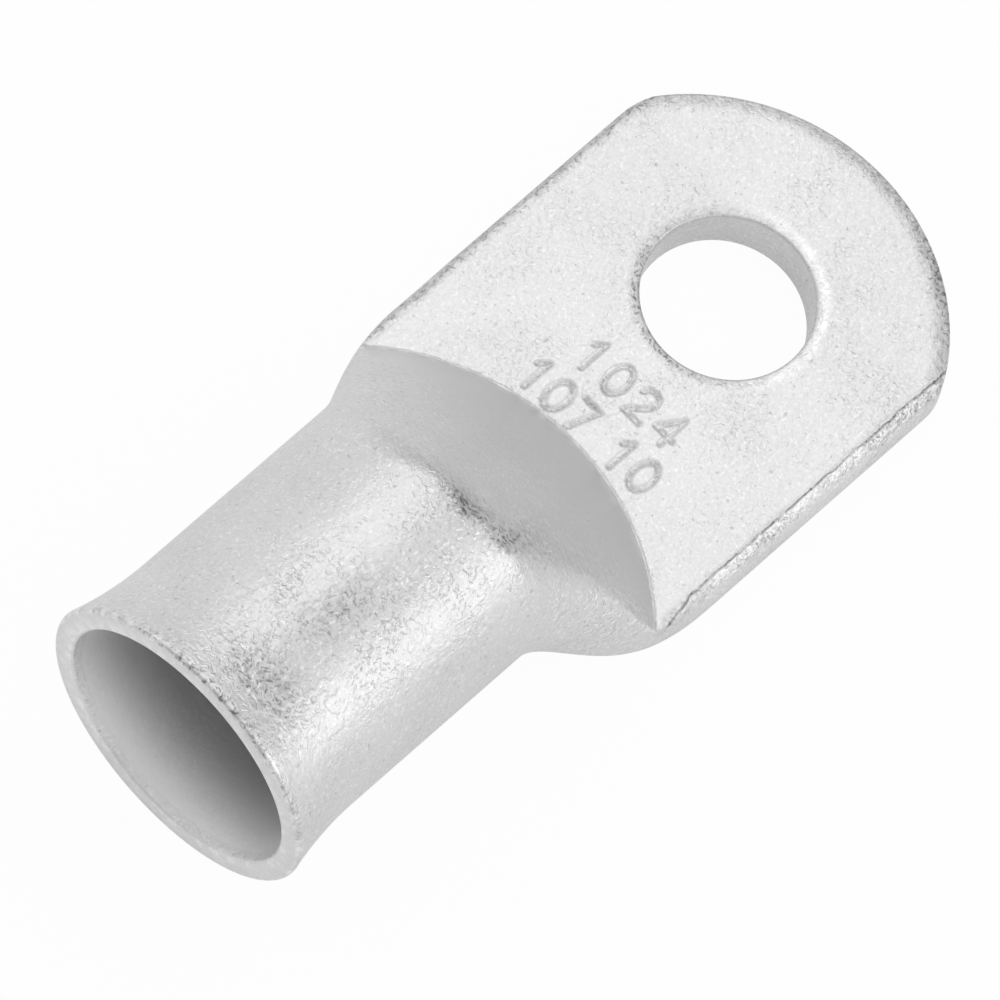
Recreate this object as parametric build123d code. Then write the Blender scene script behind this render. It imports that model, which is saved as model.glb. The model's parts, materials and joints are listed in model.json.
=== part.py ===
"""One-hole cable lug: a belled tube whose far end is pressed flat into a palm with a stud hole.

Millimetres. The origin is the centre of the stud hole on the underside of the palm, +X runs towards
the tip of the palm, the barrel lies at -X, and +Z comes out of the top of the palm.
"""

import math
import os

from build123d import *

# palm and stud hole
STUD_HOLE_D = 10.5
HOLE_EDGE_R = 0.25
PALM_T = 3.4
PALM_HALF_W = 12.85
SIDE_BULGE = 0.9
HOLE_TO_TIP = 12.78
TIP_FLATTER = 1.55
TIP_EDGE_R = 0.3

# tube and belled mouth
BORE_D = 14.6
WALL = 1.8
BARREL_L = 19.8
BELL_L = 6.0
BELL_RISE = 0.8
BORE_BELL_L = 5.4
RIM_WALL = 1.5
RIM_EDGE_R = 0.3

# crease and sloping press face between tube and palm
HOLE_TO_CREASE = 13.6
CREASE_R = 17.0
PRESS_DEG = 47.7
RIDGE_R = 0.9

# neck: how fast the tube widens, sinks and loses its round belly, how far its shoulders stand over
# the press face, and how long before the foremost point of the crease it has the palm's full section
WIDEN_RATE = 2.8
SINK_RATE = 4.4
BELLY_RATE = 6.5
SHOULDER_LIFT = 1.2
PALM_LEAD = 0.4
NECK_SECTIONS = 11

# derived: radii
BORE_R = BORE_D / 2
TUBE_R = BORE_R + WALL
MOUTH_R = TUBE_R + BELL_RISE
MOUTH_BORE_R = MOUTH_R - RIM_WALL
TIP_R = PALM_HALF_W + TIP_FLATTER

# derived: heights, with the lowest point of the rim in the plane of the palm's underside
AXIS_Z = MOUTH_R
SIDE_MID_Z = PALM_T / 2
SIDE_RISE = SIDE_MID_Z / math.sqrt(1 - (1 - SIDE_BULGE / PALM_HALF_W) ** 2)

# derived: places along the lug, with the press face leaving the top of the tube where the neck starts
SLOPE = math.tan(math.radians(PRESS_DEG))
CREASE_X = -HOLE_TO_CREASE
PALM_START_X = CREASE_X - PALM_LEAD
TUBE_END_X = CREASE_X - (AXIS_Z + TUBE_R - PALM_T) / SLOPE
NECK_STEP = (PALM_START_X - TUBE_END_X) / (NECK_SECTIONS - 1)
ROUND_END_X = TUBE_END_X - NECK_STEP
MOUTH_X = TUBE_END_X - BARREL_L
CLEAR = 2 * (HOLE_TO_TIP - MOUTH_X)
NEAR = 0.01


def mix(a, b, share):
    """Value at a share of the way from a to b."""
    return a + (b - a) * share


def eased(share, rate):
    """Share that leaves 0 and reaches 1 without a kink, sooner at a higher rate."""
    return 1 - (1 - share) ** rate * (1 + rate * share)


def top_z(share):
    """Crown of the neck, which leaves the tube level and stays over the press face all the way."""
    start = AXIS_Z + TUBE_R
    face_end = PALM_T + SLOPE * PALM_LEAD
    end = SIDE_MID_Z + SIDE_RISE
    level = (start - face_end) / SHOULDER_LIFT
    lift = SHOULDER_LIFT * (1 - (1 - share) ** level)
    return mix(start, face_end, share) + lift + (end - face_end - SHOULDER_LIFT) * share**2


def oval(x, half_w, mid_z, up, down):
    """Closed section at x: an upper and a lower half ellipse joined on the widest line."""
    corner_weight = math.sqrt(0.5)
    points = ((half_w, 0), (0, up), (-half_w, 0), (0, -down), (half_w, 0))
    corners = ((half_w, up), (-half_w, up), (-half_w, -down), (half_w, -down))
    edges = []
    for start, corner, end in zip(points[:-1], corners, points[1:]):
        trio = [(x, y, mid_z + z) for y, z in (start, corner, end)]
        edges.append(Bezier(*trio, weights=(1, corner_weight, 1)))
    return make_face(Wire(edges))


def neck_sections(inset=0.0):
    """Sections from the last of the round tube to the start of the palm, inset from the outside."""
    sections = []
    for i in range(-1, NECK_SECTIONS):
        share = max(i, 0) / (NECK_SECTIONS - 1)
        half_w = mix(TUBE_R, PALM_HALF_W, eased(share, WIDEN_RATE))
        mid_z = mix(AXIS_Z, SIDE_MID_Z, eased(share, SINK_RATE))
        up = top_z(share) - mid_z
        down = mix(TUBE_R, SIDE_RISE, eased(share, BELLY_RATE))
        x = TUBE_END_X + i * NECK_STEP
        sections.append(oval(x, half_w - inset, mid_z, up - inset, down - inset))
    return sections


def press_block(crease_x, floor_z):
    """What the press takes away: all over floor_z that lies beyond its hollow, sloping face."""
    centre_x = crease_x - CREASE_R
    plan = Pos(centre_x + CLEAR / 2, 0, floor_z) * Rectangle(CLEAR, CLEAR)
    plan -= Pos(centre_x, 0, floor_z) * Circle(CREASE_R)
    return extrude(plan, amount=CLEAR, dir=(-1, 0, SLOPE))


def under(z):
    """Block that takes away all below z."""
    return Pos(0, 0, z - CLEAR / 2) * Box(2 * CLEAR, CLEAR, CLEAR)


def belled_round(r, mouth_r, bell_l):
    """Solid round of radius r about the barrel axis that bells out to mouth_r over bell_l."""
    throat = (MOUTH_X + bell_l, AXIS_Z + r)
    mouth = (MOUTH_X, AXIS_Z + mouth_r)
    end = (ROUND_END_X, AXIS_Z + r)
    bell = TangentArc(throat, mouth, tangent=(-1, 0))
    rest = Polyline(mouth, (MOUTH_X, AXIS_Z), (ROUND_END_X, AXIS_Z), end, throat)
    half = make_face(Wire([*bell.edges(), *rest.edges()]))
    return revolve(Plane.XZ * half, Axis((0, 0, AXIS_Z), (1, 0, 0)), 360)


def pocket():
    """Closing space past the bore: the neck less its walls, shut where the two walls meet."""
    slant_wall = WALL / math.sin(math.radians(PRESS_DEG))
    foot_x = CREASE_X + PALM_T / SLOPE
    space = loft(neck_sections(WALL))
    return space - press_block(foot_x - slant_wall, 0) - under(SIDE_MID_Z)


def behind_tip():
    """Space that the trimming of the palm's round tip leaves standing."""
    centre_x = HOLE_TO_TIP - TIP_R
    disc = Pos(centre_x, 0, 0) * Cylinder(TIP_R, CLEAR)
    return disc + Pos(centre_x - CLEAR / 2, 0, 0) * Box(CLEAR, CLEAR, CLEAR)


def ridge_edges(lug):
    """Edges where the sloping press face leaves the outside of the tube."""
    found = []
    for edge in lug.edges():
        mid = edge @ 0.5
        arc_x = CREASE_X - CREASE_R + math.sqrt(CREASE_R**2 - min(abs(mid.Y), CREASE_R) ** 2)
        face_z = PALM_T + SLOPE * (arc_x - mid.X)
        if mid.Z > PALM_T + RIDGE_R / 3 and abs(mid.Z - face_z) < NEAR:
            found.append(edge)
    return found


def round_edges(lug, r, x, z):
    """Circular edges of radius r whose centre lies at x and z."""
    found = []
    for edge in lug.edges().filter_by(GeomType.CIRCLE):
        centre = edge.arc_center
        miss = max(abs(edge.radius - r), abs(centre.X - x), abs(centre.Z - z))
        if miss < NEAR:
            found.append(edge)
    return found


def cable_lug():
    """The whole lug, one pressed piece of tube."""
    sections = neck_sections()
    lug = loft(sections) + extrude(sections[-1], amount=CLEAR / 2, dir=(1, 0, 0))
    lug += belled_round(TUBE_R, MOUTH_R, BELL_L)
    lug -= press_block(CREASE_X, PALM_T)
    lug -= under(0)
    lug &= behind_tip()
    lug = fillet(ridge_edges(lug), RIDGE_R)
    lug -= pocket()
    lug -= belled_round(BORE_R, MOUTH_BORE_R, BORE_BELL_L)
    lug -= Cylinder(STUD_HOLE_D / 2, CLEAR)
    lug = fillet(round_edges(lug, STUD_HOLE_D / 2, 0, PALM_T), HOLE_EDGE_R)
    lug = fillet(round_edges(lug, TIP_R, HOLE_TO_TIP - TIP_R, PALM_T), TIP_EDGE_R)
    rims = round_edges(lug, MOUTH_R, MOUTH_X, AXIS_Z)
    rims += round_edges(lug, MOUTH_BORE_R, MOUTH_X, AXIS_Z)
    return fillet(rims, RIM_EDGE_R)


def main():
    """Build the lug and write it."""
    os.makedirs("parts", exist_ok=True)
    lug = cable_lug()
    print("straight bore from", round(MOUTH_X + BORE_BELL_L, 3), "to", round(ROUND_END_X, 3))
    print("volume", round(lug.volume, 1), "valid", lug.is_valid)
    export_step(lug, "parts/cable_lug.step")


main()
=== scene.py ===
"""Dressed cable lug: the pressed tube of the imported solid, with its worn tin and its stamped numbers.

Shapes are worked out in millimetres in the frame of the solid: the origin is the centre of the stud
hole on the underside of the palm, +X runs towards the round tip, +Z comes out of the palm's top.
"""

import json
import math
from types import SimpleNamespace

import bmesh
import bpy
import numpy as np
from bpy.props import FloatProperty, StringProperty
from mathutils import Matrix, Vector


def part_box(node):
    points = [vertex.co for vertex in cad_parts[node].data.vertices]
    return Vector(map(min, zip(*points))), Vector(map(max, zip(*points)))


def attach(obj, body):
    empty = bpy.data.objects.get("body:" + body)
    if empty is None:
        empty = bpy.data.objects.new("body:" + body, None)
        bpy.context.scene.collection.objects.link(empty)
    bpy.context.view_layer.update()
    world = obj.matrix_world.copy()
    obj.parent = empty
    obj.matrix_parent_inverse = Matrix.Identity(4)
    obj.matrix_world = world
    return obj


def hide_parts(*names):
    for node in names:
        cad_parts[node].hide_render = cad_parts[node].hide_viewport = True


bl_info = {
    "name": "Pressed Cable Lug",
    "version": (1, 0, 0),
    "blender": (4, 5, 0),
    "location": "View3D > Sidebar > Cable Lug",
    "description": "Draws a tinned copper cable lug over its packed solid, with floor, lamps and camera",
    "category": "Add Mesh",
}

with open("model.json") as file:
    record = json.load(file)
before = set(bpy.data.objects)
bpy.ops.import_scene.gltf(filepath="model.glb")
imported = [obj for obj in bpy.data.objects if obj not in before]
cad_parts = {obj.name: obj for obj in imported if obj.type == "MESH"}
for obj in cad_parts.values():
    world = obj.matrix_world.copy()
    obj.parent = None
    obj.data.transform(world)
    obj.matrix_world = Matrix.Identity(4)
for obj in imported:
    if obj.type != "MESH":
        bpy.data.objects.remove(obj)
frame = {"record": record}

MM = 0.001
LENGTH = {"unit": "LENGTH", "precision": 5}
LOW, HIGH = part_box("cable_lug")
MOUNTS = {mount["name"]: mount for mount in frame["record"]["mounts"]}

# how the neck changes from tube to palm, as shares and rates of the solid
WIDEN_RATE = 2.8
SINK_RATE = 4.4
BELLY_RATE = 6.5
SHOULDER_LIFT = 1.2
PALM_LEAD = 0.4
SIDE_BULGE = 0.9
TIP_FLATTER = 1.55

# how many lines, columns and rows the mesh has, and how far apart the rows of scoop and barrel lie
TOP_LINES = 200
BOTTOM_LINES = 60
BAND_COLUMNS = 160
FINER = 4
PALM_ROWS = 78
LIP_ROWS = 7
WALL_ROWS = 5
FOOT_ROWS = 6
BELL_ROWS = 14
RIM_ROWS = 8
FLARE_ROWS = 12
BORE_ROWS = 10
POCKET_ROWS = 16
SCOOP_ROW = 0.2
BARREL_ROW = 0.7
SHARP_DEG = 33

# depths of the lines down the palm's side: close together at its upper edge, even in the middle, and
# two at its lower edge, measured from below
UPPER_DEPTHS = (0, 0.02, 0.05, 0.09, 0.14, 0.2, 0.27, 0.36, 0.5)
MIDDLE_DEPTHS = (0.75, 0.3, 8)
LOWER_HEIGHTS = (0.12, 0.0)

# how evenly the top lines are spread, where 1 is even and less is closer together on the crown
TOP_EVENNESS = 0.57

# how often the places of rows and lines are corrected until they stand still
ROW_PASSES = 14
SIDE_PASSES = 40

# rows are arcs like the crease for the first stretch and straight from a little behind the ridge
ARCS_L = 8
STRAIGHT_BACK = 3.2

# small forms of the visible piece alone, in millimetres: two dents in the ridge as (y, spread, depth),
# the rounding of the ridge at the crease and on its soft left side, and that of the belly's lower edge
DENTS = ((-2.4, 0.75, 0.6), (-5.0, 0.6, 0.45))
DENTS_BACK = 11.5
CREASE_RIDGE_W = 0.03
SOFT_RIDGE_W = 2.2
CREASE_BELLY_W = 0.01
BELLY_W = 0.3
POCKET_W = 0.3
POCKET_OPEN = 0.4
LEFT_FULLER = 0.35

# wear of the palm's edges as (depth, distance from the edge where it starts, length over which it grows)
LEFT_WORN = (0.16, 1.0, 0.8)
RIGHT_WORN = (0.06, 1.3, 0.4)
TIP_WORN = (0.14, 1.2, 0.9)
HOLE_WORN = (0.05, 0.85, 0.6)

# shares of grain and of marks, where 1 is the crown of the barrel
FACE_WEAR = (0.15, 0.06)
INSIDE_WEAR = (0.2, 0.05)
MOUTH_WEAR = (0.4, 0.15)
PALM_MARKS = 0.4
FLANK_MARKS = 0.45
STRIP_MARKS = 1.2

# painted shade in the ridge's dents, with smudges along the ridge, as (y, spread, strength), and grime on
# the barrel as (distance from the mouth, spread, turn about the axis, spread, strength)
RIDGE_SHADE_AND_GRIME = ((-2.4, 1.0, 0.7), (-5.0, 0.8, 0.5), (-2.6, 4.5, 0.4))
BARREL_GRIME = ((3.0, 1.7, -0.26, 0.3, 0.7), (9.595, 2.8, -0.22, 0.15, 0.5))

# strokes of the stamped numbers in a cell one unit high: polylines of (across, up)
HALF_TURNS = [a / 9 * math.pi for a in range(19)]
TWO_HEAD = [(0.04, 0.76), (0.12, 0.93), (0.32, 1.0), (0.52, 0.92), (0.58, 0.74), (0.5, 0.52)]
DIGITS = {
    "0": [[(0.02 + 0.6 * (0.5 + 0.5 * math.sin(a)), 0.5 + 0.5 * math.cos(a)) for a in HALF_TURNS]],
    "1": [[(0.12, 0.76), (0.36, 1.0), (0.36, 0.0)]],
    "2": [[*TWO_HEAD, (0.02, 0.0), (0.62, 0.0)]],
    "4": [[(0.46, 0.0), (0.46, 1.0), (0.0, 0.3), (0.64, 0.3)]],
    "7": [[(0.02, 1.0), (0.6, 1.0), (0.24, 0.0)]],
}

# rows of stamped digits as (digits, x of their foot, y where the first starts, step), and how far the
# side of a stroke slopes beyond its width
STAMPS = (("1024", -9.85, 3.35, 2.1), ("107", -13.25, 4.75, 1.85), ("10", -13.15, -2.2, 1.85))
STROKE_SLOPE = 0.08


class LugSizes(bpy.types.PropertyGroup):
    """Lengths of the lug that the visible piece is drawn from."""

    wall: FloatProperty(name="Tube wall", description="Wall of the tube", default=1.8 * MM, **LENGTH)
    palm_t: FloatProperty(
        name="Palm thickness",
        description="Thickness of the flattened palm",
        default=MOUNTS["palm_top"]["pos_m"][2],
        **LENGTH,
    )
    hole_r: FloatProperty(
        name="Stud hole radius",
        description="Radius of the hole through the palm",
        default=MOUNTS["stud_hole"]["dims"]["r_mm"] * MM,
        **LENGTH,
    )
    bore_r: FloatProperty(
        name="Bore radius",
        description="Radius of the straight bore for the conductor",
        default=MOUNTS["barrel_bore"]["dims"]["r_mm"] * MM,
        **LENGTH,
    )
    barrel_l: FloatProperty(
        name="Barrel length", description="From the mouth to the press face", default=19.8 * MM, **LENGTH
    )
    bell_l: FloatProperty(
        name="Bell length", description="Length over which the mouth flares", default=6.0 * MM, **LENGTH
    )
    bore_bell_l: FloatProperty(
        name="Bore bell length", description="Length over which the bore opens", default=5.4 * MM, **LENGTH
    )
    rim_wall: FloatProperty(name="Rim wall", description="Wall at the mouth", default=1.5 * MM, **LENGTH)
    edge_r: FloatProperty(
        name="Edge radius", description="Rounding of the mouth and tip edges", default=0.3 * MM, **LENGTH
    )
    hole_edge_r: FloatProperty(
        name="Hole edge radius", description="Rounding of the hole's upper edge", default=0.25 * MM, **LENGTH
    )
    crease_x: FloatProperty(
        name="Crease place", description="X of the crease's foremost point", default=-13.6 * MM, **LENGTH
    )
    crease_r: FloatProperty(
        name="Crease radius", description="Radius of the crease from above", default=17.0 * MM, **LENGTH
    )
    foot_w: FloatProperty(
        name="Crease rounding", description="Width of the crease's rounding", default=0.5 * MM, **LENGTH
    )
    ridge_w: FloatProperty(
        name="Ridge rounding", description="Height of the ridge's rounding", default=0.42 * MM, **LENGTH
    )
    press_angle: FloatProperty(
        name="Press angle", description="Press face's slope", default=math.radians(47.7), subtype="ANGLE"
    )
    digit_h: FloatProperty(
        name="Digit height", description="Height of the stamped numbers", default=2.2 * MM, **LENGTH
    )
    stroke_w: FloatProperty(
        name="Stroke width", description="Width of the stamped strokes", default=0.36 * MM, **LENGTH
    )
    stamp_depth: FloatProperty(
        name="Stamp depth", description="Depth of the stamped strokes", default=0.15 * MM, **LENGTH
    )


class LugFinish(bpy.types.PropertyGroup):
    """Colours and roughness of the tin-plated copper."""

    tin: StringProperty(name="Tin colour", description="sRGB hex colour of clean tin", default="#E6E6E6")
    # the dull colour also paints shade in dents, on rounded edges, along the fold and deep in the bore
    dull: StringProperty(
        name="Dulled tin colour", description="sRGB hex colour of grime in scuffed tin", default="#7E7E7E"
    )
    # the bright colour also paints highlights on rounded edges
    bright: StringProperty(
        name="Bright tin colour", description="sRGB hex colour of burnished marks", default="#FCFCFC"
    )
    roughness: FloatProperty(
        name="Roughness", description="Roughness of the tumbled tin", default=0.42, min=0.0, max=1.0
    )


class LugStage(bpy.types.PropertyGroup):
    """Floor, lamps and camera."""

    floor: StringProperty(name="Floor colour", description="sRGB hex colour of floor", default="#F2F2F2")
    whiten: FloatProperty(
        name="Whiten", description="White in the floor as the camera sees it", default=0.96, min=0.0, max=1.0
    )
    whiten_bounced: FloatProperty(
        name="Whiten bounced", description="White in the floor seen in metal", default=0.35, min=0.0, max=1.0
    )
    world: FloatProperty(
        name="World light", description="Strength of the light all round", default=0.89, min=0.0
    )
    azimuth: FloatProperty(
        name="Camera azimuth",
        description="Turn of the camera about the vertical",
        default=math.radians(-64.696),
        subtype="ANGLE",
    )
    elevation: FloatProperty(
        name="Camera elevation",
        description="Height angle of the camera",
        default=math.radians(64.111),
        subtype="ANGLE",
    )
    roll: FloatProperty(
        name="Camera roll", description="Turn of the picture", default=math.radians(21.27), subtype="ANGLE"
    )
    distance: FloatProperty(
        name="Camera distance", description="Distance from the stud hole", default=1.0194, unit="LENGTH"
    )
    lens: FloatProperty(
        name="Lens", description="Focal length in millimetres on a 36 mm sensor", default=624.06
    )
    aside: FloatProperty(
        name="Camera aside", description="Distance left of the stud hole", default=12.861 * MM, **LENGTH
    )
    below: FloatProperty(
        name="Camera below", description="Distance below the stud hole", default=10.53 * MM, **LENGTH
    )


def mix(a, b, share):
    """Value at a share of the way from a to b."""
    return a + (b - a) * share


def eased(share, rate):
    """Share that leaves 0 and reaches 1 without a kink: 1 - (1 - s)^rate (1 + rate s)."""
    return 1 - (1 - share) ** rate * (1 + rate * share)


def rounded_min(a, b, width):
    """Smaller of a and b with a rounded corner: min(a, b) less (width - |a - b|)^2 / (4 width) near it."""
    near = np.maximum(width - np.abs(a - b), 0)
    return np.minimum(a, b) - near**2 / (4 * width)


def rounded_max(a, b, width):
    """Larger of a and b with a rounded corner, the mirror of rounded_min."""
    return -rounded_min(-a, -b, width)


def ramp(value, start, length):
    """Share that runs evenly from 0 to 1 while value runs on from start over length."""
    return np.clip((value - start) / length, 0, 1)


def smooth_step(share):
    """Share that leaves 0 and reaches 1 level: s^2 (3 - 2 s)."""
    return share**2 * (3 - 2 * share)


def spot(value, centre, spread):
    """Bell one unit high: exp(-((value - centre) / spread)^2)."""
    return np.exp(-(((value - centre) / spread) ** 2))


def measures(sizes):
    """All lengths in millimetres, with the places that follow from them."""
    lengths = [n for n in sizes.bl_rna.properties.keys() if n not in ("name", "rna_type", "press_angle")]
    d = SimpleNamespace(**{n: getattr(sizes, n) / MM for n in lengths})
    d.slope = math.tan(sizes.press_angle)
    d.slant = math.sin(sizes.press_angle)
    d.tube_r = d.bore_r + d.wall
    d.mouth_x = LOW.x / MM
    d.tip_x = HIGH.x / MM
    d.palm_half_w = HIGH.y / MM
    d.axis_z = MOUNTS["barrel_bore"]["pos_m"][2] / MM
    d.tip_r = d.palm_half_w + TIP_FLATTER
    d.side_mid_z = d.palm_t / 2
    d.side_rise = d.side_mid_z / math.sqrt(1 - (1 - SIDE_BULGE / d.palm_half_w) ** 2)
    d.tube_end_x = d.mouth_x + d.barrel_l
    d.palm_start_x = d.crease_x - PALM_LEAD
    d.bell_r = round_through(d.bell_l, d.axis_z - d.tube_r)
    d.bore_bell_r = round_through(d.bore_bell_l, d.axis_z - d.rim_wall - d.bore_r)
    return d


def round_through(length, rise):
    """Radius of the arc that leaves a line level and has risen by rise after length: (l^2 + r^2) / 2r."""
    return (length**2 + rise**2) / (2 * rise)


def crease(y, d):
    """X of the crease at y, an arc bulging towards the tip: x0 - R + sqrt(R^2 - y^2)."""
    return d.crease_x - d.crease_r + np.sqrt(d.crease_r**2 - np.minimum(np.abs(y), d.crease_r) ** 2)


def press_face(x, y, d):
    """Height of what the press leaves: the palm's top ahead of the crease, a straight slope behind it.

    Between them the foot is rounded over foot_w: slope (back + w/2)^2 / 2w, from -w/2 to w/2.
    """
    back = crease(y, d) - x
    half = d.foot_w / 2
    foot = (np.clip(back, -half, half) + half) ** 2 / (2 * d.foot_w)
    return d.palm_t + d.slope * (foot + np.maximum(back - half, 0))


def section(x, d, inset=0.0):
    """Half width, height of the widest line, rise over it and drop under it, of the outside at x.

    The tube's circle widens, sinks and loses its belly by eased shares of the way along the neck. Its
    crown comes down with the press face and stays over it. At the mouth all grow along the bell's arc.
    """
    share = ramp(x, d.tube_end_x, d.palm_start_x - d.tube_end_x)
    half_w = mix(d.tube_r, d.palm_half_w, eased(share, WIDEN_RATE))
    mid_z = mix(d.axis_z, d.side_mid_z, eased(share, SINK_RATE))
    start = d.axis_z + d.tube_r
    face_end = d.palm_t + d.slope * PALM_LEAD
    end = d.side_mid_z + d.side_rise
    level = (start - face_end) / SHOULDER_LIFT
    lift = SHOULDER_LIFT * (1 - (1 - share) ** level)
    crown = mix(start, face_end, share) + lift + (end - face_end - SHOULDER_LIFT) * share**2
    down = mix(d.tube_r, d.side_rise, eased(share, BELLY_RATE))
    reach = np.clip(d.mouth_x + d.bell_l - x, 0, d.bell_l)
    bell = d.bell_r - np.sqrt(d.bell_r**2 - reach**2)
    if inset:
        bell = 0
    return half_w + bell - inset, mid_z, crown - mid_z + bell - inset, down + bell - inset


def row_places(x0, bend, phi, d, inset=0.0):
    """X and y where each line phi crosses each row: x follows the crease's arc by the row's bend.

    The width depends on x and x on y, so both are found together by a few passes.
    """
    x = x0 + 0 * phi
    for _ in range(ROW_PASSES):
        y = section(x, d, inset)[0] * np.sin(phi)
        x = x0 + bend * (crease(y, d) - d.crease_x)
    return x, y


def neck_rows(x0, bend, phi, d):
    """Outside of neck and barrel: half ellipses over and under the widest line, cut by the press face
    from above, with a rounded ridge, and by the plane of the palm's underside from below.

    The press face is dented by a bell at each place of DENTS, from the ridge to the crown. The ridge is
    sharp at the right and gets softer from 1 mm right of the middle to 4 mm left of it.
    """
    x, y = row_places(x0, bend, phi, d)
    _, mid_z, up, down = section(x, d)
    cos = np.cos(phi)
    oval = mid_z + np.where(cos > 0, up, down) * cos
    back = d.crease_x - x0
    off_crease = ramp(back, 0, 4)
    soft_w = mix(d.ridge_w, SOFT_RIDGE_W, smooth_step(ramp(y, -1, 5)))
    dents = sum(depth * spot(y, at_y, spread) for at_y, spread, depth in DENTS)
    face = press_face(x, y, d) - dents * ramp(back, DENTS_BACK, 2)
    top = rounded_min(oval, face, mix(CREASE_RIDGE_W, soft_w, off_crease))
    z = rounded_max(top, 0, mix(CREASE_BELLY_W, BELLY_W, off_crease))
    return np.stack([x, y, z], -1)


def side_phi(z, d):
    """Line phi whose point on the crease row lies at height z: cos(phi) = (z - mid) / rise or drop."""
    phi = np.full(len(z), math.radians(85))
    for _ in range(SIDE_PASSES):
        x, _ = row_places(d.crease_x + d.foot_w / 2, 1.0, phi, d)
        _, mid_z, up, down = section(x, d)
        phi = np.arccos((z - mid_z) / np.where(z > mid_z, up, down))
    return phi


def line_angles(d):
    """Angles of all lines round the lug, from the palm's right top edge over the top, down the left
    side, along the underside and up the right side, and how many lines a side has.

    The top lines lie at the edge's angle times e u + (1 - e) u^3, with u evenly from -1 to 1.
    """
    first, last_height, count = MIDDLE_DEPTHS
    middle = np.linspace(first, d.palm_t - last_height, count)
    depths = np.concatenate([UPPER_DEPTHS, middle, d.palm_t - np.array(LOWER_HEIGHTS)])
    side = side_phi(d.palm_t - depths, d)
    u = np.linspace(-1, 1, TOP_LINES + 1)
    top = side[0] * (TOP_EVENNESS * u + (1 - TOP_EVENNESS) * u**3)
    bottom = np.linspace(side[-1], 2 * math.pi - side[-1], BOTTOM_LINES + 1)
    phi = np.concatenate([top[:-1], side[:-1], bottom[:-1], -side[:0:-1]])
    return phi, len(side)


def rim_profile(d):
    """X and radius along the mouth's edge from outside to inside: two quarter-like arcs and a flat.

    Each arc touches the flare and the plane of the mouth. Its centre lies one edge radius inside both.
    """
    r = d.edge_r
    outer_c = d.tube_r + d.bell_r - math.sqrt((d.bell_r + r) ** 2 - (d.bell_l - r) ** 2)
    inner_c = d.bore_r + d.bore_bell_r - math.sqrt((d.bore_bell_r - r) ** 2 - (d.bore_bell_l - r) ** 2)
    first = math.acos((d.bell_l - r) / (d.bell_r + r))
    last = 2 * math.pi - math.acos(-(d.bore_bell_l - r) / (d.bore_bell_r - r))
    outer = np.linspace(first, math.pi, RIM_ROWS)
    inner = np.linspace(math.pi, last, RIM_ROWS - 1)
    x = np.concatenate([np.cos(outer), np.cos(inner)]) * r + d.mouth_x + r
    radius = np.concatenate([outer_c + r * np.sin(outer), inner_c + r * np.sin(inner)])
    return x, radius


def bore_profile(start_x, d):
    """X and radius from the mouth's inner edge along the flare and the straight bore."""
    flare_end = d.mouth_x + d.bore_bell_l
    flare = np.linspace(start_x, flare_end, FLARE_ROWS)
    straight = np.linspace(flare_end, d.tube_end_x, BORE_ROWS)
    x = np.concatenate([flare[1:], straight[1:]])
    reach = np.clip(flare_end - x, 0, None)
    return x, d.bore_r + d.bore_bell_r - np.sqrt(d.bore_bell_r**2 - reach**2)


def turned(x, radius, phi, d):
    """Rows of a profile turned about the barrel's axis: (x, r sin phi, axis + r cos phi)."""
    x, radius = x[:, None], radius[:, None]
    return np.stack([x + 0 * phi, radius * np.sin(phi), d.axis_z + radius * np.cos(phi)], -1)


def pocket_rows(x0, phi, d):
    """Closing space past the bore: the neck less its wall, between the press face shifted by the wall
    and the floor at half the palm's thickness."""
    shift = d.palm_t / d.slope - d.wall / d.slant
    bend = ramp(x0, d.tube_end_x, 6)
    x, y = row_places(x0, bend, phi, d, d.wall)
    _, mid_z, up, down = section(x, d, d.wall)
    cos = np.cos(phi)
    oval = mid_z + np.where(cos > 0, up, down) * cos
    roof = press_face(x - shift, y, d) - d.palm_t
    z = np.maximum(rounded_min(oval, roof, POCKET_W), d.side_mid_z)
    return np.stack([x, y, z], -1)


def skin(d):
    """All rows round the lug: from the crease back over scoop and barrel, round the mouth and in
    through the bore to the end of the pocket. Rows are arcs like the crease near it and straight at
    the barrel."""
    phi, side_count = line_angles(d)
    straight_x = d.tube_end_x - STRAIGHT_BACK
    foot = np.linspace(-d.foot_w / 2, d.foot_w / 2, FOOT_ROWS)
    scoop = np.arange(foot[-1] + SCOOP_ROW, d.crease_x - straight_x, SCOOP_ROW)
    scoop_x = d.crease_x - np.concatenate([foot, scoop])
    bell_start = d.mouth_x + d.bell_l
    barrel_x = np.linspace(straight_x, bell_start, int((straight_x - bell_start) / BARREL_ROW))
    rim_x, rim_r = rim_profile(d)
    bell_x = np.linspace(bell_start, rim_x[0], BELL_ROWS)[1:-1]
    x0 = np.concatenate([scoop_x, barrel_x, bell_x])
    arcs_end = d.crease_x - ARCS_L
    bend = 1 - eased(ramp(arcs_end - x0, 0, arcs_end - straight_x), 2)
    outside = neck_rows(x0[:, None], bend[:, None], phi, d)
    bore_x, bore_r = bore_profile(rim_x[-1], d)
    closed_x = d.crease_x + (d.palm_t - d.side_mid_z) / d.slope - d.wall / d.slant
    pocket_x = np.linspace(d.tube_end_x, closed_x - POCKET_OPEN, POCKET_ROWS)[1:]
    rows = [
        outside,
        turned(rim_x, rim_r, phi, d),
        turned(bore_x, bore_r, phi, d),
        pocket_rows(pocket_x[:, None], phi, d),
    ]
    return np.concatenate(rows), side_count


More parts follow.
